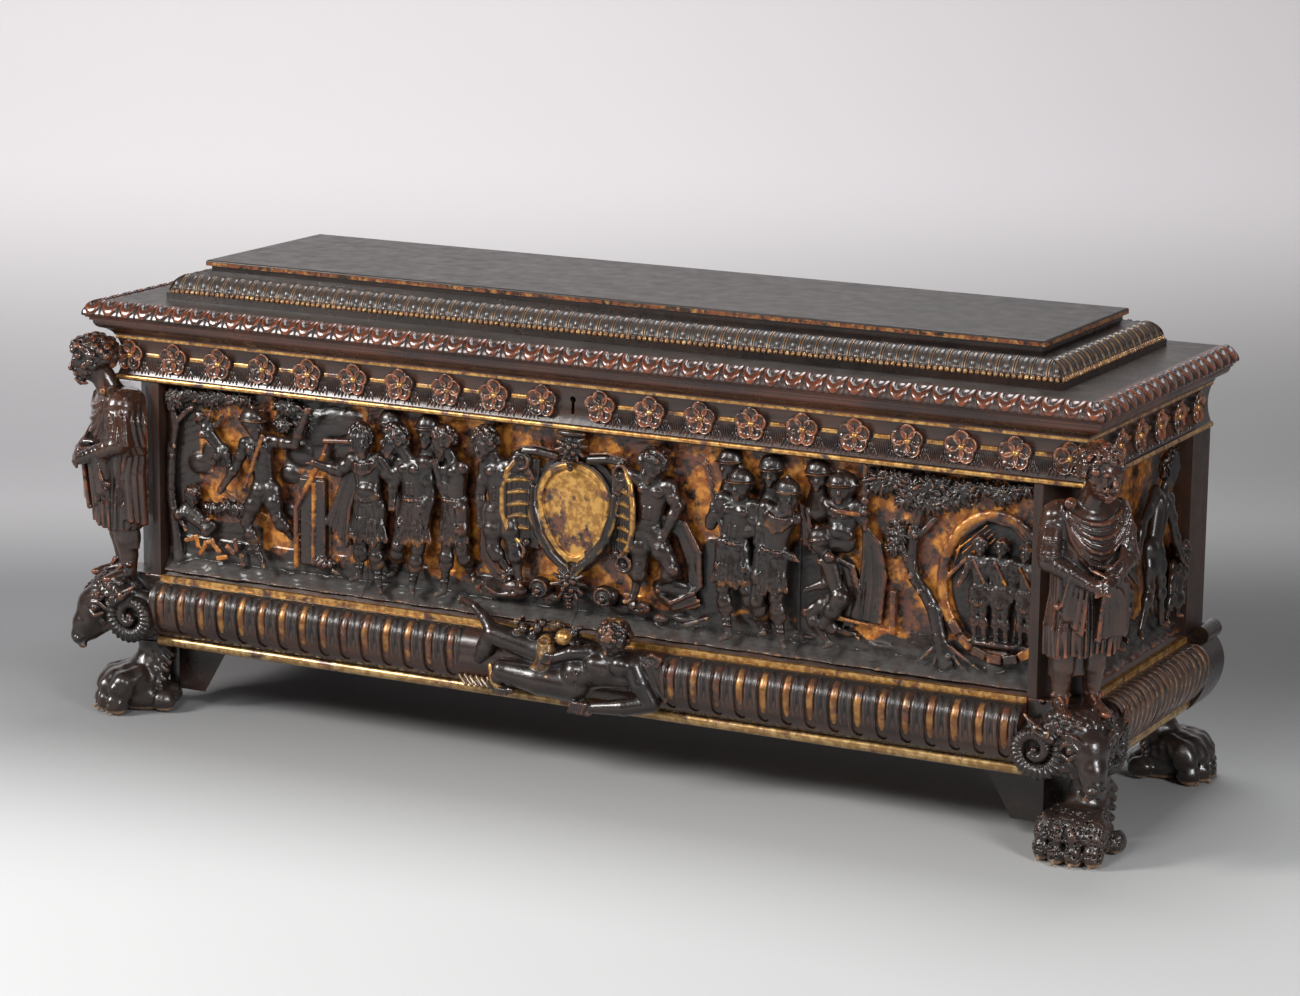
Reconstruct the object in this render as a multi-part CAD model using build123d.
from build123d import *
from math import cos, pi, radians, sin, sqrt
import os

# A carved and gilded walnut marriage chest (cassone), put together as its maker would: thick
# planks and posts on lion-paw feet, ram's heads and standing figures at the front corners, a
# gadrooned base, and a stepped lid on two iron hinges with a chest lock let into the front rail.
#
# X runs along the front, Y from front to back, Z up, in millimetres. The shapes are drawn with
# the frieze face at Y = 0; at the end everything moves so that the origin lies on the floor, in
# the middle of the box that holds the whole chest.

# Overall sizes
body_length = 1660.0            # over the frieze, end to end
body_depth = 532.0              # frieze face to the back
rim_height = 622.0              # floor to the top of the carcase
frieze_bottom = 549.0           # underside of the frieze rail
ledge_height = 234.0            # top of the base moulding, front edge of the carved ledge
skirt_height = 118.0            # underside of the base
lid_overhang = 40.0             # lid edge beyond the frieze, front and ends

# Planks, posts and bottom
wall = 50.0                     # frieze rail and carved planks, face to inside
ground_depth = 28.0             # how far the carved ground lies behind the frieze face
ledge_rise = 28.0               # the ledge climbs this much from its edge to the ground
skirt_recess = 6.0              # the planks lie this far back behind the base moulding
plank_foot = 126.0              # lower edge of the planks and of the bottom board
post_width = 78.0               # corner posts, seen from the front or the end
post_canted = 64.0              # leg of the canted corner behind each standing figure
back_thickness = 20.0
bottom_thickness = 18.0
batten_thickness = 18.0
batten_width = 60.0
batten_inset = 190.0            # from the chest's end to the outer side of a cross batten

# Frieze
frieze_hollow = 6.0
frieze_bead = 5.0               # radius of the gilt bead under the frieze
frieze_fillet = 6.0             # height of the gilt fillet at the rim
fillet_proud = 2.0
lock_block_half = 92.0          # half length of the block let into the rail for the lock

# Base moulding
base_bulge = 36.0               # swell of the gadroons beyond the frieze face
base_lip = 8.0                  # where the swell starts, beyond the frieze face
base_fillet = 8.0               # height of the gilt fillet above the gadroons
base_fillet_proud = 3.0
base_bead = 9.0                 # radius of the gilt rail under the gadroons
bead_proud = 3.0
flute_pitch = 38.5
flute_width = 17.0
flute_depth = 4.0
flute_margin = 10.0             # bare moulding above and below each flute
figure_gap = 340.0              # bare length in the middle, behind the reclining figure

# Feet
paw_length = 145.0
paw_width = 112.0
paw_toe_reach = 42.0            # toes beyond the corner
paw_instep = 84.0               # height over the knuckles
toe_length = 52.0
ankle_radius = 31.0
foot_block_clear = 30.0         # the blocks behind the front paws stop this far above the floor
foot_block_setback = 60.0
foot_block_foot = 82.0          # legs of the block's triangle at the bottom
foot_block_head = 138.0         # and at the top
cope_clear = 1.0                # round the ankle, in the foot block

# Ram's heads and rear scrolls
ram_width = 40.0                # half the breadth across the brow
ram_muzzle = 21.0               # half the breadth across the muzzle
ram_muzzle_reach = 62.0         # middle of the muzzle beyond the corner, along the diagonal
horn_radius = 50.0
horn_thickness = 21.0
horn_height = 168.0             # centre of the curl
horn_inset = 55.0               # centre of the curl from the corner
scroll_radius = 14.0

# Standing figures
figure_foot = 222.0
figure_height = 394.0
figure_width = 62.0             # half the breadth of the cloak
head_height = 76.0
head_width = 60.0
head_reach = 38.0               # middle of the head beyond the corner, along the diagonal

# Shield on the front
cartouche_width = 200.0
cartouche_height = 214.0
cartouche_thick = 16.0
shield_width = 118.0
shield_height = 152.0
shield_middle = 432.0           # height of the shield's broadest line
shield_rim = 8.0

# Lid
lid_gap = 0.3                   # the closed lid lies this far above the rim
lid_frame_height = 30.0
lid_frame_width = 62.0
lid_frame_back = 42.0
lid_board_thickness = 25.0
lid_edge_width = 32.0
tier_front_inset = 52.0         # foot of the raised tier, from the frieze face
tier_end_inset = 60.0
tier_back_inset = 46.0
tier_height = 52.0
tier_slope = 53.0               # breadth in plan of the tier's carved side
tier_wall = 16.0
top_thickness = 9.0
top_lip = 7.0
top_front_share = 0.52          # the front plank's share of the top board

# Hinges
hinge_spacing = 1000.0
hinge_axis_out = 5.5            # hinge axis behind the back of the chest
hinge_pin_radius = 2.5
hinge_barrel_radius = 5.0
hinge_running = 0.06            # radial clearance of the pin in the barrels
hinge_leaf_thickness = 3.0
hinge_leaf_width = 46.0
hinge_leaf_drop = 112.0
hinge_leaf_rise = 44.0
hinge_gap = 0.5                 # between neighbouring knuckles
nail_radius = 2.2
nail_head_radius = 5.5
nail_head_height = 2.4
nail_in_back = 16.0
nail_in_lid = 32.0

# Lock
lock_width = 120.0
lock_height = 58.0
lock_depth = 24.0
lock_plate = 3.0
lock_below_rim = 4.0
lock_mortise = 14.0             # how deep the case is let into the rail
lock_clear = 0.3
bolt_length = 68.0
bolt_height = 9.0
bolt_thickness = 6.0
bolt_travel = 14.0
bolt_clear = 0.3
bolt_stand_off = 3.5            # the drawn bolt stops this far short of the staple
guide_width = 6.0
talon_radius = 4.0
staple_x = 36.0
staple_thickness = 4.0
staple_width = 16.0
staple_tang = 6.0               # how far the staple is let into the lid
staple_rim = 5.0                # iron under the eye
staple_clear = 1.2              # round the bolt, in the staple's eye
staple_slot = 2.5               # round the staple, in the case and the rail
key_pin_radius = 2.5
key_pin_drop = 26.0             # key pin below the rim
keyhole_radius = 5.0
keyhole_width = 5.0
keyhole_drop = 22.0

# Worked out from the sizes above
front = 0.0
back = body_depth
half = body_length / 2
panel_half = half - post_width
inner_half = half - wall
bead_top = skirt_height + 2 * base_bead
lid_underside = rim_height + lid_gap
lid_board_bottom = lid_underside + lid_frame_height
lid_top = lid_board_bottom + lid_board_thickness
tier_top = lid_top + tier_height
total_height = tier_top + top_thickness
tier_corner = half - tier_end_inset
tier_face = front + tier_front_inset
tier_rear = back - tier_back_inset
pad_length = paw_length - toe_length
ankle_at = paw_toe_reach - paw_length + pad_length / 2 - 2.0
hinge_y = back + hinge_axis_out
hinge_z = rim_height + lid_gap / 2
lock_top = rim_height - lock_below_rim
lock_face = front + wall - lock_mortise
lock_inside = lock_face + lock_depth
bolt_y = lock_face + lock_depth / 2
bolt_z = lock_top - lock_plate - 2.0 - bolt_height / 2
bolt_tip = staple_x - staple_thickness / 2 - bolt_stand_off
bolt_tail = bolt_tip - bolt_length
staple_foot = bolt_z - bolt_height / 2 - staple_clear - staple_rim
key_pin_z = rim_height - key_pin_drop
wide = 2 * body_length          # longer than the chest, for cutting
reach = 300.0                   # further out than any moulding, for cutting

nodes = {}


def keep(name, shape):
    """Puts a finished piece on the list, as plain solids."""
    nodes[name] = Compound(list(shape.solids()))


def block(x0, x1, y0, y1, z0, z1):
    """A box between six planes."""
    return Pos((x0 + x1) / 2, (y0 + y1) / 2, (z0 + z1) / 2) * Box(x1 - x0, y1 - y0, z1 - z0)


def prism(points, z0, z1):
    """A plan outline carried up from z0 to z1."""
    outline = make_face(Polyline(*points, close=True))
    return Pos(0, 0, z0) * extrude(outline, amount=z1 - z0)


def cylinder(radius, length, where, direction):
    """A round bar that starts at `where` and runs along `direction`."""
    plane = Plane(origin=where, z_dir=direction)
    return extrude(plane * Circle(radius), amount=length)


def limb(start, end, r0, r1):
    """A tapering limb with round ends."""
    a = Vector(*start)
    run = Vector(*end) - a
    if r0 == r1:
        shaft = cylinder(r0, run.length, a, run)
    else:
        shaft = Solid.make_cone(r0, r1, run.length, Plane(origin=a, z_dir=run))
    return Pos(*start) * Sphere(r0) + shaft + Pos(*end) * Sphere(r1)


def mirrored(shape):
    """The same piece at the other end of the chest."""
    return mirror(shape, about=Plane.YZ)


def at_corner(shape, x, y, turn):
    """Carries a piece drawn facing +X to a corner of the chest."""
    return Pos(x, y, 0) * Rot(0, 0, turn) * shape


def closed(*edges):
    """A face inside joined edges."""
    return make_face(Curve() + list(edges))


# Mouldings are sections in (outwards from the frieze face, height), carried along a side.
def along_front(section, x0, x1, face=front):
    """A section carried along the front between two square ends."""
    plane = Plane(origin=(x1, face, 0), x_dir=(0, -1, 0), z_dir=(-1, 0, 0))
    return extrude(plane * section, amount=x1 - x0)


def along_end(section, y0, y1, corner=half):
    """A section carried along the right-hand end between two square ends."""
    plane = Plane(origin=(corner, y1, 0), x_dir=(1, 0, 0), z_dir=(0, -1, 0))
    return extrude(plane * section, amount=y1 - y0)


def front_run(section, corner=half, face=front):
    """A section along the front, mitred at both ends."""
    wedge = [
        (-corner - reach, face - reach),
        (corner + reach, face - reach),
        (corner - reach, face + reach),
        (-corner + reach, face + reach),
    ]
    return along_front(section, -corner - reach, corner + reach, face) & prism(wedge, 0, wide)


def end_run(section, end, corner=half, face=front):
    """A section along the right-hand end, mitred at the front and square at `end`."""
    wedge = [
        (corner + reach, face - reach),
        (corner + reach, end),
        (corner - reach, end),
        (corner - reach, face + reach),
    ]
    return along_end(section, face - reach, end, corner) & prism(wedge, 0, wide)


def plank_section():
    """A carved plank: skirt, sloping ledge and recessed ground."""
    return closed(
        Polyline(
            (-wall, plank_foot),
            (-skirt_recess, plank_foot),
            (-skirt_recess, ledge_height),
            (-ground_depth, ledge_height + ledge_rise),
            (-ground_depth, frieze_bottom),
            (-wall, frieze_bottom),
            close=True,
        )
    )


def frieze_section():
    """The frieze rail: a bead, a shallow hollow and a fillet at the rim."""
    top = frieze_bottom + 2 * frieze_bead
    foot = rim_height - frieze_fillet
    back_edge = Polyline(
        (0, foot),
        (fillet_proud, foot),
        (fillet_proud, rim_height),
        (-wall, rim_height),
        (-wall, frieze_bottom),
        (0, frieze_bottom),
    )
    bead = ThreePointArc((0, frieze_bottom), (frieze_bead, frieze_bottom + frieze_bead), (0, top))
    hollow = ThreePointArc((0, top), (-frieze_hollow, (top + foot) / 2), (0, foot))
    return closed(back_edge, bead, hollow)


def base_section(sunk=0.0):
    """The swelling base moulding with its fillet; `sunk` lowers the swell, for the flutes."""
    shoulder = ledge_height - base_fillet
    belly = bead_top + 0.55 * (shoulder - bead_top)
    lip, bulge = base_lip - sunk, base_bulge - sunk
    upper = (bulge * 0.82, (shoulder + belly) / 2 + 8)
    lower = (bulge * 0.84, (bead_top + belly) / 2 - 6)
    back_edge = Polyline(
        (lip, bead_top),
        (-skirt_recess, bead_top),
        (-skirt_recess, ledge_height),
        (base_fillet_proud, ledge_height),
        (base_fillet_proud, shoulder),
        (lip, shoulder),
    )
    return closed(
        back_edge,
        ThreePointArc((lip, shoulder), upper, (bulge, belly)),
        ThreePointArc((bulge, belly), lower, (lip, bead_top)),
    )


def bead_section():
    """The gilt rail under the gadroons, with its flat back against the planks."""
    back_edge = Polyline(
        (bead_proud, skirt_height),
        (-skirt_recess, skirt_height),
        (-skirt_recess, bead_top),
        (bead_proud, bead_top),
    )
    nose = (bead_proud + base_bead, bead_top - base_bead)
    return closed(back_edge, ThreePointArc((bead_proud, bead_top), nose, (bead_proud, skirt_height)))


def lid_frame_section():
    """The lid's bed moulding: a cyma under a small step, on a rail that rests on the rim."""
    z0, z1 = lid_underside, lid_board_bottom
    step = lid_overhang - 8
    rail = Polyline(
        (step - 4, z1 - 5),
        (step, z1 - 5),
        (step, z1),
        (-lid_frame_width, z1),
        (-lid_frame_width, z0),
        (4, z0),
        (4, z0 + 2),
    )
    middle = (step / 2, z0 + 0.37 * lid_frame_height)
    hollow = ThreePointArc((4, z0 + 2), (middle[0] * 0.56, middle[1] - 4), middle)
    swell = ThreePointArc(middle, (step * 0.78, middle[1] + 4.5), (step - 4, z1 - 5))
    return closed(rail, hollow, swell)


def lid_edge_section():
    """The rounded nosing of the lid, which carries the scale ornament."""
    outer = lid_overhang
    z0, z1 = lid_board_bottom, lid_top
    flats = Polyline(
        (outer - 2, z0 + 3),
        (outer - 4, z0),
        (outer - lid_edge_width, z0),
        (outer - lid_edge_width, z1),
        (outer - 22, z1),
    )
    brow = ThreePointArc((outer - 22, z1), (outer - 6, z1 - 8), (outer, z0 + 7))
    tip = ThreePointArc((outer, z0 + 7), (outer - 0.4, z0 + 4.6), (outer - 2, z0 + 3))
    return closed(flats, brow, tip)


def tier_section():
    """A side of the raised tier: bead row, swelling band and neck."""
    z0, z1 = lid_top, tier_top
    foot, neck = z0 + 11, z1 - 9
    flats = Polyline(
        (-tier_slope, neck),
        (-tier_slope, z1),
        (-tier_slope - tier_wall, z1),
        (-tier_slope - tier_wall, z0),
        (0, z0),
        (0, foot),
        (-6, foot),
    )
    turn = (-0.64 * tier_slope, neck - 5)
    band = ThreePointArc((-6, foot), (-0.28 * tier_slope, foot + 0.62 * (neck - foot)), turn)
    cove = ThreePointArc(turn, (-0.81 * tier_slope, neck - 3.2), (-tier_slope, neck))
    return closed(flats, band, cove)


def corner_plan(leg):
    """The L of a right front corner piece in plan, with `leg` cut off its outer corner."""
    if leg:
        outer = [(half - leg, front), (half, front + leg)]
    else:
        outer = [(half, front)]
    return [
        (panel_half, front),
        *outer,
        (half, front + post_width),
        (inner_half, front + post_width),
        (inner_half, front + wall),
        (panel_half, front + wall),
    ]


def build_carcase():
    """Planks, posts, back and bottom."""
    keep("front_panel", along_front(plank_section(), -panel_half, panel_half))
    end_panel = along_end(plank_section(), front + post_width, back - post_width)
    keep("right_end_panel", end_panel)
    keep("left_end_panel", mirrored(end_panel))

    post = prism(corner_plan(post_canted), ledge_height, frieze_bottom)
    keep("front_right_post", post)
    keep("front_left_post", mirrored(post))
    rear = block(inner_half, half, back - post_width, back, ledge_height, frieze_bottom)
    keep("back_right_post", rear)
    keep("back_left_post", mirrored(rear))

    board = block(-inner_half, inner_half, back - back_thickness, back, plank_foot, rim_height)
    for x, z in leaf_nails(-hinge_leaf_drop):
        board -= nail_hole(x, z)
    keep("back_board", board)
    y0, y1 = front + wall, back - back_thickness
    floor_top = plank_foot + bottom_thickness
    keep("bottom_board", block(-inner_half, inner_half, y0, y1, plank_foot, floor_top))
    outer = half - batten_inset
    batten = block(outer - batten_width, outer, y0, y1, plank_foot - batten_thickness, plank_foot)
    keep("bottom_battens", batten + mirrored(batten))


def build_frieze():
    """The rail at the rim, mitred at the front corners, with the block that holds the lock."""
    rail = front_run(frieze_section())
    middle = rail & block(-lock_block_half, lock_block_half, -reach, reach, 0, rim_height)
    keep("lock_block", middle - lock_mortise_room() - keyhole())
    side = rail & block(lock_block_half, wide, -reach, wide, 0, rim_height)
    keep("front_frieze", side + mirrored(side))
    end_rail = end_run(frieze_section(), back)
    keep("right_frieze", end_rail)
    keep("left_frieze", mirrored(end_rail))


def flute(centre):
    """An upright slot with round ends, centred on `centre`."""
    low, high = bead_top + flute_margin, ledge_height - base_fillet - flute_margin
    return Pos(centre, (low + high) / 2) * Rot(0, 0, 90) * SlotOverall(high - low, flute_width)


def fluted(outer, inner, plane, centres):
    """Cuts the slots through the outer form and closes them again with the inner one."""
    for centre in centres:
        outer -= extrude(plane * flute(centre), amount=reach)
    return outer + inner


def flute_row(length, bare=0.0):
    """Centres of an even row of flutes on `length`, with a `bare` stretch in its middle."""
    if not bare:
        count = int(length // flute_pitch)
        return [(i - (count - 1) / 2) * flute_pitch for i in range(count)]
    wing = (length - bare) / 2
    side = [length / 2 - wing / 2 + x for x in flute_row(wing)]
    return side + [-x for x in side]


def build_base():
    """Gadrooned mouldings and the gilt rails below them."""
    outer = along_front(base_section(), -panel_half, panel_half)
    inner = along_front(base_section(flute_depth), -panel_half, panel_half)
    face = Plane(origin=(0, front, 0), x_dir=(1, 0, 0), z_dir=(0, -1, 0))
    keep("front_base_moulding", fluted(outer, inner, face, flute_row(2 * panel_half, figure_gap)))

    y0, y1 = front + post_width, back - post_width
    outer = along_end(base_section(), y0, y1)
    inner = along_end(base_section(flute_depth), y0, y1)
    side = Plane(origin=(half, (y0 + y1) / 2, 0), x_dir=(0, 1, 0), z_dir=(1, 0, 0))
    end = fluted(outer, inner, side, flute_row(y1 - y0))
    keep("right_base_moulding", end)
    keep("left_base_moulding", mirrored(end))

    keep("front_base_bead", along_front(bead_section(), -panel_half, panel_half))
    bead = along_end(bead_section(), y0, y1)
    keep("right_base_bead", bead)
    keep("left_base_bead", mirrored(bead))


def lion_paw():
    """A lion's paw that faces +X, its toes `paw_toe_reach` beyond the corner at the origin."""
    toe = paw_width / 8.2
    pad = Ellipse(pad_length / 2, paw_width / 2 - 8)
    paw = Pos(ankle_at + 2, 0, 0) * extrude(pad, amount=26)
    for i in range(4):
        side = (i - 1.5) / 1.5
        y = side * (paw_width / 2 - toe - 2)
        tip = paw_toe_reach - toe - 9 * side * side
        paw += limb((tip - toe_length, y * 0.8, toe), (tip, y, toe), toe, toe)
        paw += Pos(tip - 24, y * 0.94, paw_instep - 1.55 * toe) * Sphere(toe * 1.55)
        paw += Pos(tip - 6, y, toe * 1.75) * Sphere(toe * 1.12)
    rings = [
        Pos(ankle_at + 26, 0, 20) * Ellipse(44, paw_width / 2 - 13),
        Pos(ankle_at + 14, 0, 0.5 * skirt_height) * Ellipse(36, 36),
        Pos(ankle_at, 0, 0.78 * skirt_height) * Ellipse(ankle_radius - 4, ankle_radius - 4),
        Pos(ankle_at - 2, 0, skirt_height) * Ellipse(ankle_radius, ankle_radius),
    ]
    return (paw + loft(rings)) & block(-reach, reach, -reach, reach, 0, skirt_height)


def foot_block():
    """The tapering block behind the right front paw, coped round its ankle."""
    x1, y0 = half - post_width / 2, front + foot_block_setback

    def triangle(leg, z):
        outline = Polyline((x1, y0), (x1 - leg, y0), (x1, y0 + leg), close=True)
        return Pos(0, 0, z) * make_face(outline)

    wedge = loft([triangle(foot_block_foot, foot_block_clear), triangle(foot_block_head, plank_foot)])
    away = -ankle_at / sqrt(2)
    ankle = Pos(half - away, front + away, 0) * Rot(0, 0, -45) * Pos(12, 0, 0)
    room = extrude(Ellipse(46 + cope_clear, 44 + cope_clear), amount=plank_foot)
    under_block = block(panel_half, half, front, front + post_width, skirt_height, plank_foot)
    return wedge - ankle * room - under_block


def horn():
    """A ram's horn that curls in the XY plane, from its thick root to the tip inside."""
    turns, steps = 1.15, 9
    rings = []
    for i in range(steps + 1):
        t = i / steps
        angle = 2 * pi * turns * t
        r = (horn_radius - horn_thickness) * (1 - 0.72 * t)
        out = (cos(angle), sin(angle), 0)
        plane = Plane(origin=(r * out[0], r * out[1], 9 * t), x_dir=out, z_dir=(-out[1], out[0], 0))
        rings.append(plane * Circle(horn_thickness * (1 - 0.62 * t)))
    return loft(rings)


def ram_head():
    """The right front corner block, with the ram's head that is carved from it."""
    corner = prism(corner_plan(0), plank_foot, ledge_height)
    corner += block(panel_half, half, front, front + post_width, skirt_height, plank_foot)
    toe_room = [(half - post_canted, front), (half, front), (half, front + post_canted)]
    corner -= prism(toe_room, figure_foot, ledge_height)

    # The face hangs at 60 degrees from the brow to the muzzle: reach, height, breadth, depth.
    lean = radians(60)
    along = (cos(lean), 0, -sin(lean))
    brow_z = figure_foot - 37
    stations = [
        (4, figure_foot - 17, ram_width + 2, 38),
        (34, brow_z, ram_width - 4, 34),
        (51, brow_z - 27, 0.5 * (ram_width + ram_muzzle) - 3, 27),
        (ram_muzzle_reach, brow_z - 53, ram_muzzle, 22),
        (ram_muzzle_reach + 3, brow_z - 66, ram_muzzle - 6, 14),
    ]
    rings = [Plane(origin=(s, 0, z), x_dir=(0, 1, 0), z_dir=along) * Ellipse(w, d) for s, z, w, d in stations]
    face = loft(rings) & block(-reach, reach, -reach, reach, 0, figure_foot)
    face += limb((14, 0, 176), (30, 0, 160), 34, 26)
    for side in (-1, 1):
        face += Pos(46, side * (ram_width - 12), brow_z - 4) * Sphere(7)
    head = at_corner(face, half, front, -45)

    # The curl lies flat against the base moulding, on a cheek that stands on the block.
    curl = Pos(half - horn_inset, front - base_bulge, horn_height)
    on_front = curl * Rot(90, 0, 0) * Rot(0, 0, 60) * horn()
    cheek = cylinder(horn_radius - 12, base_bulge, (half - horn_inset, front, horn_height), (0, -1, 0))
    pair = on_front + cheek
    pair += mirror(pair, about=Plane(origin=(half, front, 0), z_dir=(1, 1, 0)))
    ram = corner + head + pair
    ram -= along_front(base_section(), panel_half - reach, panel_half)
    ram -= along_end(base_section(), front + post_width, front + post_width + reach)
    ram -= along_front(bead_section(), panel_half - reach, panel_half)
    ram -= along_end(bead_section(), front + post_width, front + post_width + reach)
    return ram & block(-reach, wide, -reach, reach, skirt_height - 12, ledge_height)


def rear_scroll():
    """The console with a volute that ends the right-hand base moulding at the back."""
    y0, y1 = back - post_width, back
    belly = ledge_height - 58
    console = closed(
        Polyline((8, skirt_height), (-wall, skirt_height), (-wall, ledge_height), (10, ledge_height)),
        ThreePointArc((10, ledge_height), (base_bulge - 4, belly + 34), (base_bulge + 2, belly)),
        ThreePointArc((base_bulge + 2, belly), (base_bulge - 8, skirt_height + 26), (8, skirt_height)),
    )
    scroll = along_end(console, y0, y1)
    scroll += block(panel_half, inner_half, y0, back, skirt_height, plank_foot)
    roll_x = half + base_bulge - scroll_radius - 1
    roll = cylinder(scroll_radius, post_width - 16, (roll_x, y0 + 8, ledge_height + 2), (0, 1, 0))
    return scroll + roll


def corner_figure():
    """A robed, bearded man who faces +X with clasped hands, the corner at the origin."""
    deep = post_canted / sqrt(2)
    w = figure_width
    shoulders = frieze_bottom - 36
    waist = figure_foot + 0.53 * figure_height
    hem = figure_foot + 0.2 * figure_height
    rings = [
        Pos(0, 0, hem) * Ellipse(deep + 2, w),
        Pos(2, 0, (hem + waist) / 2) * Ellipse(deep + 1, w - 4),
        Pos(5, 0, waist) * Ellipse(deep - 1, w - 7),
        Pos(3, 0, shoulders - 22) * Ellipse(deep - 3, w + 1),
        Pos(2, 0, shoulders + 6) * Ellipse(deep - 8, w - 8),
        Pos(10, 0, shoulders + 30) * Ellipse(19, 21),
    ]
    body = loft(rings)
    head_z = figure_foot + figure_height - head_height / 2
    body += limb((6, 0, shoulders), (head_reach - 8, 0, head_z - 8), 20, 18)
    skull = scale(Sphere(1), by=(head_width / 2, head_width / 2, head_height / 2))
    body += Pos(head_reach, 0, head_z) * skull
    body += limb((head_reach + 8, 0, head_z - 18), (head_reach + 8, 0, head_z - 50), 19, 11)
    for side in (-1, 1):
        boot = [
            Pos(-14, side * 27, figure_foot) * Ellipse(19, 13),
            Pos(-18, side * 27, figure_foot + 24) * Ellipse(13, 12),
            Pos(-10, side * 27, hem + 8) * Ellipse(19, 19),
        ]
        body += loft(boot)
        elbow = (14, side * (w + 2), waist + 4)
        body += limb((4, side * (w - 8), shoulders - 12), elbow, 18, 16)
        body += limb(elbow, (54, side * 8, waist - 4), 16, 11)
    back_plane = block(-deep, reach, -reach, reach, figure_foot, rim_height - 2)
    figure = at_corner(body & back_plane, half, front, -45)
    rail_out = frieze_bead + 0.2
    rail = block(0, half + rail_out, front - rail_out, back, frieze_bottom, rim_height)
    return figure - rail


def build_corners():
    """Paws, foot blocks, ram's heads, rear scrolls and standing figures."""
    paw = lion_paw()
    right_front = at_corner(paw, half, front, -45)
    keep("front_right_paw", right_front)
    keep("front_left_paw", mirrored(right_front))
    right_back = at_corner(paw, half, back - post_width / 2 - 8, 0)
    keep("back_right_paw", right_back)
    keep("back_left_paw", mirrored(right_back))
    pieces = {
        "front_{}_foot_block": foot_block(),
        "ram_head_{}": ram_head(),
        "rear_scroll_{}": rear_scroll(),
        "corner_figure_{}": corner_figure(),
    }
    for name, piece in pieces.items():
        keep(name.format("right"), piece)
        keep(name.format("left"), mirrored(piece))


def egg(width, height, middle):
    """An egg-shaped outline with a pointed foot, its broadest line at `middle`."""
    w = width / 2
    top, foot = middle + 0.42 * height, middle - 0.58 * height
    low = middle - 0.33 * height
    return closed(
        ThreePointArc((-w, middle), (0, top), (w, middle)),
        ThreePointArc((w, middle), (0.74 * w, low), (0, foot)),
        ThreePointArc((0, foot), (-0.74 * w, low), (-w, middle)),
    )


def cartouche():
    """The shield, raised on a strapwork frame with a boss above and below."""
    ground = front + ground_depth
    face = Plane(origin=(0, ground, 0), x_dir=(1, 0, 0), z_dir=(0, -1, 0))
    frame = extrude(face * egg(cartouche_width, cartouche_height, shield_middle), amount=cartouche_thick)
    for side in (-1, 1):
        notch = (side * cartouche_width / 2, ground + 1, shield_middle + 0.3 * cartouche_height)
        frame -= cylinder(0.16 * cartouche_width, cartouche_thick + 2, notch, (0, -1, 0))
        ear = (side * 0.47 * cartouche_width, ground, shield_middle - 0.18 * cartouche_height)
        frame += cylinder(11, cartouche_thick + 5, ear, (0, -1, 0))
    rim = extrude(face * egg(shield_width, shield_height, shield_middle), amount=cartouche_thick + 8)
    dish = egg(shield_width - 2 * shield_rim, shield_height - 2 * shield_rim, shield_middle)
    rim -= Pos(0, -cartouche_thick - 4, 0) * extrude(face * dish, amount=reach)
    shield = frame + rim
    for z in (shield_middle + 0.42 * cartouche_height, shield_middle - 0.52 * cartouche_height):
        shield += limb((0, ground - 8, z - 8), (0, ground - 8, z + 8), 19, 15)
    return shield & block(-reach, reach, front - 4, ground, 0, frieze_bottom)


def reclining_figure():
    """The river god who lies across the base moulding, leaning on an urn."""
    y = front - base_bulge - 1
    body = limb((-52, y + 8, 172), (20, y, 172), 25, 27)
    body += limb((20, y, 172), (78, y - 2, 200), 27, 33)
    body += limb((70, y - 2, 190), (96, y + 4, 200), 30, 24)
    body += limb((84, y - 4, 214), (84, y - 12, 234), 17, 20)
    body += Pos(82, y - 12, 240) * Sphere(28)
    body += limb((104, y - 4, 186), (122, y - 6, 140), 15, 13)
    body += limb((122, y - 6, 140), (30, y - 8, 128), 13, 10)
    body += limb((48, y - 8, 206), (-10, y - 14, 222), 13, 10)
    body += limb((-52, y + 4, 178), (-132, y - 6, 208), 23, 17)
    body += limb((-132, y - 6, 208), (-168, y + 4, 150), 17, 12)
    body += limb((-52, y + 2, 160), (-128, y - 8, 152), 22, 16)
    body += limb((-128, y - 8, 152), (-196, y + 2, 140), 15, 10)
    body += cylinder(30, 44, (112, y + 6, 176), (1, 0, 0.1))
    body -= along_front(base_section(), -reach, reach)
    body -= along_front(bead_section(), -reach, reach)
    return body & block(-wide, wide, -reach, front, skirt_height - 4, rim_height)


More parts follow.
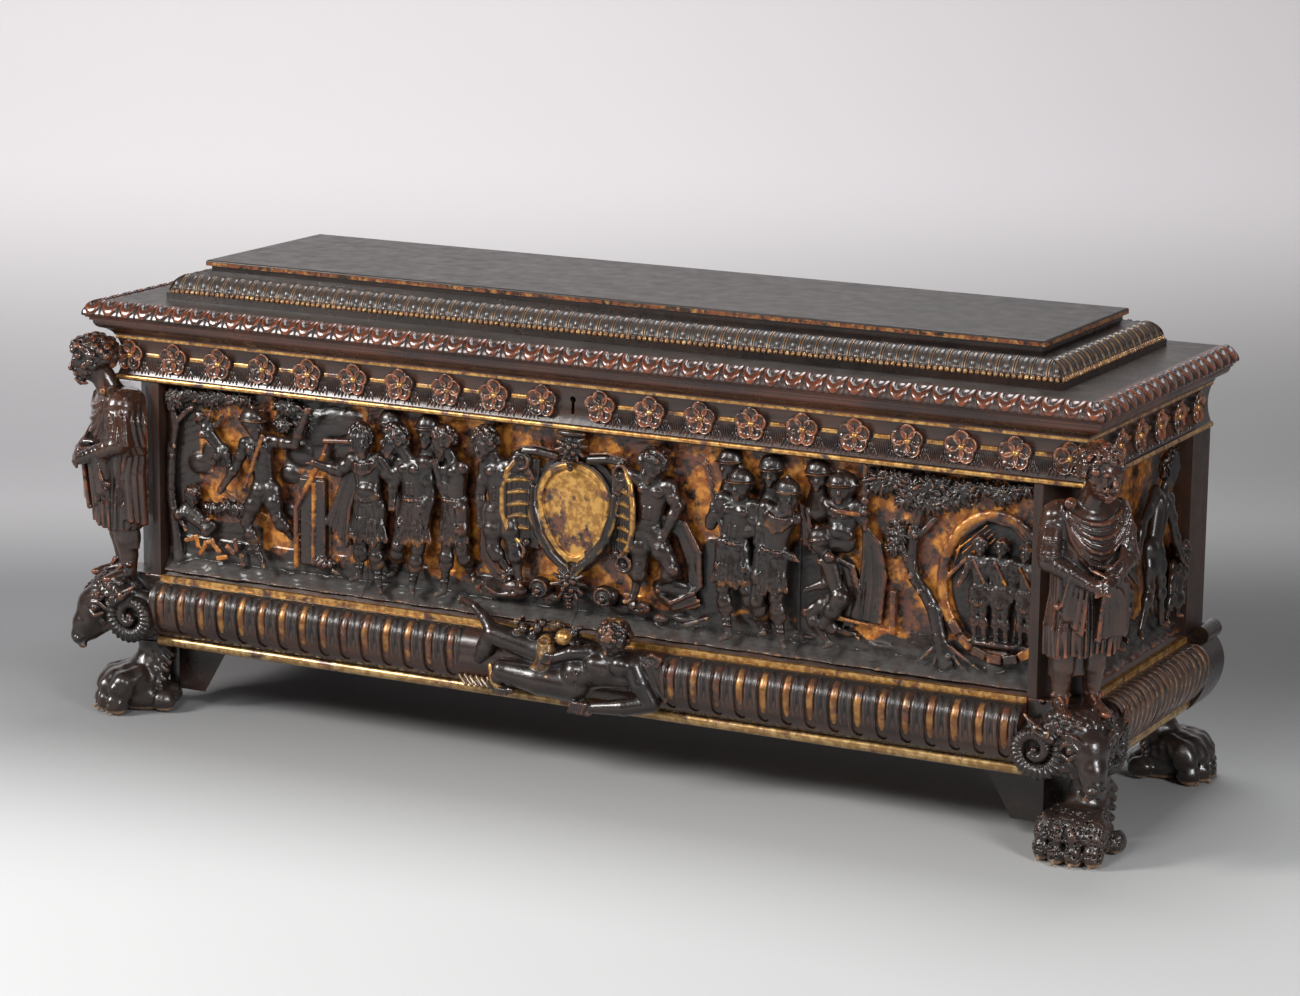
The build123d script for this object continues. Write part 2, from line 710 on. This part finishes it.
def build_lid():
    """Frame, board, nosings, raised tier and top planks."""
    section = lid_frame_section()
    rail = front_run(section) - staple_socket()
    keep("lid_frame_front", rail)
    rear_face = back - lid_frame_back
    joint = half - 6
    end = end_run(section, back) - block(0, joint, rear_face, back + 1, 0, lid_board_bottom)
    keep("lid_frame_right", end)
    keep("lid_frame_left", mirrored(end))
    rear = block(-joint, joint, rear_face, back, lid_underside, lid_board_bottom)
    side = lid_overhang - lid_edge_width
    board = block(-half - side, half + side, front - side, back, lid_board_bottom, lid_top)
    for x, z in leaf_nails(hinge_leaf_rise):
        rear -= nail_hole(x, z)
        board -= nail_hole(x, z)
    keep("lid_frame_back", rear)
    keep("lid_board", board)

    keep("lid_edge_front", front_run(lid_edge_section()))
    edge = end_run(lid_edge_section(), back)
    keep("lid_edge_right", edge)
    keep("lid_edge_left", mirrored(edge))

    middle_y = (tier_face + tier_rear) / 2
    middle = Plane(origin=(0, middle_y, 0), z_dir=(0, 1, 0))
    section = tier_section()
    face = front_run(section, tier_corner, tier_face)
    keep("tier_front", face)
    keep("tier_back", mirror(face, about=middle))
    half_end = end_run(section, middle_y, tier_corner, tier_face)
    end = half_end + mirror(half_end, about=middle)
    keep("tier_right", end)
    keep("tier_left", mirrored(end))

    shrink = tier_slope - top_lip
    x, y0, y1 = tier_corner - shrink, tier_face + shrink, tier_rear - shrink
    board = block(-x, x, y0, y1, tier_top, total_height)
    board = fillet(board.faces().sort_by(Axis.Z)[-1].edges(), top_thickness / 3)
    seam = y0 + top_front_share * (y1 - y0)
    keep("top_plank_front", board & block(-wide, wide, -wide, seam, 0, wide))
    keep("top_plank_back", board & block(-wide, wide, seam, wide, 0, wide))


def leaf_nails(span):
    """Where the nails go through a hinge leaf that runs `span` up or down from the axis."""
    shares = (0.3, 0.62, 0.9) if span < 0 else (0.42, 0.82)
    centres = (-hinge_spacing / 2, hinge_spacing / 2)
    return [(x, hinge_z + share * span) for x in centres for share in shares]


def nail_hole(x, z):
    """The hole that a hinge nail fills, through leaf and board."""
    depth = nail_in_lid if z > hinge_z else nail_in_back
    start = (x, back + hinge_leaf_thickness, z)
    return cylinder(nail_radius, depth + hinge_leaf_thickness, start, (0, -1, 0))


def nail(x, z):
    """A rose-headed nail driven forwards through a hinge leaf."""
    seat = Plane(origin=(x, back + hinge_leaf_thickness, z), z_dir=(0, 1, 0))
    head = Solid.make_cone(nail_head_radius, nail_radius, nail_head_height, seat)
    return nail_hole(x, z) + head


def barrel(x0, x1, radius):
    """A round bar on the hinge axis."""
    return cylinder(radius, x1 - x0, (x0, hinge_y, hinge_z), (1, 0, 0))


def hinge_leaf(x, span, knuckles, others):
    """A strap with its knuckles, cleared round the other leaf's."""
    w = hinge_leaf_width / 2
    gap = hinge_gap if span > 0 else -hinge_gap
    low, high = sorted((hinge_z + gap, hinge_z + span))
    leaf = block(x - w, x + w, back, back + hinge_leaf_thickness, low, high)
    for a, b in knuckles:
        web = block(x + a, x + b, back, back + hinge_leaf_thickness, min(low, hinge_z), max(high, hinge_z))
        leaf += web + barrel(x + a, x + b, hinge_barrel_radius)
    for a, b in others:
        leaf -= barrel(x + a - hinge_gap, x + b + hinge_gap, hinge_barrel_radius + hinge_gap)
    leaf -= barrel(x - w, x + w, hinge_pin_radius + hinge_running)
    for nail_x, nail_z in leaf_nails(span):
        if abs(nail_x - x) < w:
            leaf -= nail_hole(nail_x, nail_z)
    return leaf


def build_hinges():
    """Two strap hinges on the outside of the back, with their pins and nails."""
    w = hinge_leaf_width / 2
    third = hinge_leaf_width / 6
    outer = [(-w, -third - hinge_gap / 2), (third + hinge_gap / 2, w)]
    inner = [(-third + hinge_gap / 2, third - hinge_gap / 2)]
    pins = []
    for x, name in ((-hinge_spacing / 2, "left"), (hinge_spacing / 2, "right")):
        keep(f"hinge_leaf_carcase_{name}", hinge_leaf(x, -hinge_leaf_drop, outer, inner))
        keep(f"hinge_leaf_lid_{name}", hinge_leaf(x, hinge_leaf_rise, inner, outer))
        pins += barrel(x - w, x + w, hinge_pin_radius).solids()
    keep("hinge_pins", Compound(pins))
    for name, span in (("carcase_nails", -hinge_leaf_drop), ("lid_nails", hinge_leaf_rise)):
        group = [solid for x, z in leaf_nails(span) for solid in nail(x, z).solids()]
        keep(name, Compound(group))


def around(x, y, z, dx, dy, dz):
    """A box given by its centre and half sizes."""
    return block(x - dx, x + dx, y - dy, y + dy, z - dz, z + dz)


def lock_mortise_room():
    """The pocket in the back of the front rail, with the staple's slot through the rim."""
    w = lock_width / 2 + lock_clear
    low, high = lock_top - lock_height - lock_clear, lock_top + lock_clear
    pocket = block(-w, w, lock_face - lock_clear, front + wall + 1, low, high)
    return pocket + staple_way(lock_top - 1, rim_height + 1)


def staple_way(z0, z1):
    """The clear way for the staple as the lid comes down."""
    dx = staple_thickness / 2 + staple_slot
    dy = staple_width / 2 + staple_slot
    return block(staple_x - dx, staple_x + dx, bolt_y - dy, bolt_y + dy, z0, z1)


def keyhole():
    """A round hole for the key's pipe with a slot below it for the bit."""
    pipe = cylinder(keyhole_radius, wall + 40, (0, front - 20, key_pin_z), (0, 1, 0))
    middle = key_pin_z - keyhole_drop / 2
    return pipe + around(0, front, middle, keyhole_width / 2, wall + 20, keyhole_drop / 2)


def lock_case():
    """The iron case, open towards the rail, with three guides for the bolt and the key's pin."""
    w, t = lock_width / 2, lock_plate
    low = lock_top - lock_height
    case = block(-w, w, lock_face, lock_inside, low, lock_top)
    case -= block(t - w, w - t, lock_face - 1, lock_inside - t, low + t, lock_top - t)
    guide_foot = bolt_z - bolt_height / 2 - 5
    for x in (bolt_tail + 2 * guide_width, staple_x - 3 * guide_width, staple_x + 1.4 * guide_width):
        dx = guide_width / 2
        case += block(x - dx, x + dx, lock_face + 2, lock_inside - t, guide_foot, lock_top - t)
    run = around(
        bolt_tail + (bolt_length + bolt_travel) / 2,
        bolt_y,
        bolt_z,
        (bolt_length + bolt_travel) / 2 + 2,
        bolt_thickness / 2 + bolt_clear,
        bolt_height / 2 + bolt_clear,
    )
    case -= run
    case -= staple_way(lock_top - t - 1, lock_top + 1)
    pin = cylinder(key_pin_radius, lock_depth - t - 2, (0, lock_inside - t + 0.5, key_pin_z), (0, -1, 0))
    return case + pin


def lock_bolt():
    """The bolt, drawn back, with the notch that the key's bit turns in."""
    middle = bolt_tail + bolt_length / 2
    bar = around(middle, bolt_y, bolt_z, bolt_length / 2, bolt_thickness / 2, bolt_height / 2)
    talon = (-bolt_travel / 2, bolt_y - bolt_thickness, bolt_z - bolt_height / 2)
    return bar - cylinder(talon_radius, 2 * bolt_thickness, talon, (0, 1, 0))


def staple_plate(z0, z1):
    """The staple's plate between two heights."""
    dx, dy = staple_thickness / 2, staple_width / 2
    return block(staple_x - dx, staple_x + dx, bolt_y - dy, bolt_y + dy, z0, z1)


def staple_socket():
    """The mortise under the lid that holds the staple's tang."""
    return staple_plate(lid_underside - 1, lid_underside + staple_tang)


def lock_staple():
    """The plate under the lid with an eye for the bolt."""
    dy, dz = bolt_thickness / 2 + staple_clear, bolt_height / 2 + staple_clear
    eye = around(staple_x, bolt_y, bolt_z, staple_thickness, dy, dz)
    return staple_plate(staple_foot, lid_underside + staple_tang) - eye


def build_lock():
    """Case, bolt and staple."""
    keep("lock_case", lock_case())
    keep("lock_bolt", lock_bolt())
    keep("lock_staple", lock_staple())


build_carcase()
build_frieze()
build_base()
build_corners()
keep("cartouche", cartouche())
keep("reclining_figure", reclining_figure())
build_lid()
build_hinges()
build_lock()

boxes = [shape.bounding_box() for shape in nodes.values()]
middle_y = (min(box.min.Y for box in boxes) + max(box.max.Y for box in boxes)) / 2
os.makedirs("parts", exist_ok=True)
for name, shape in nodes.items():
    placed = Pos(0, -middle_y, 0) * shape
    solids = placed.solids()
    export_step(solids[0] if len(solids) == 1 else Compound(list(solids)), f"parts/{name}.step")
print(f"{len(nodes)} nodes, frieze face at y = {-middle_y:.3f}, total height {total_height:.1f}")
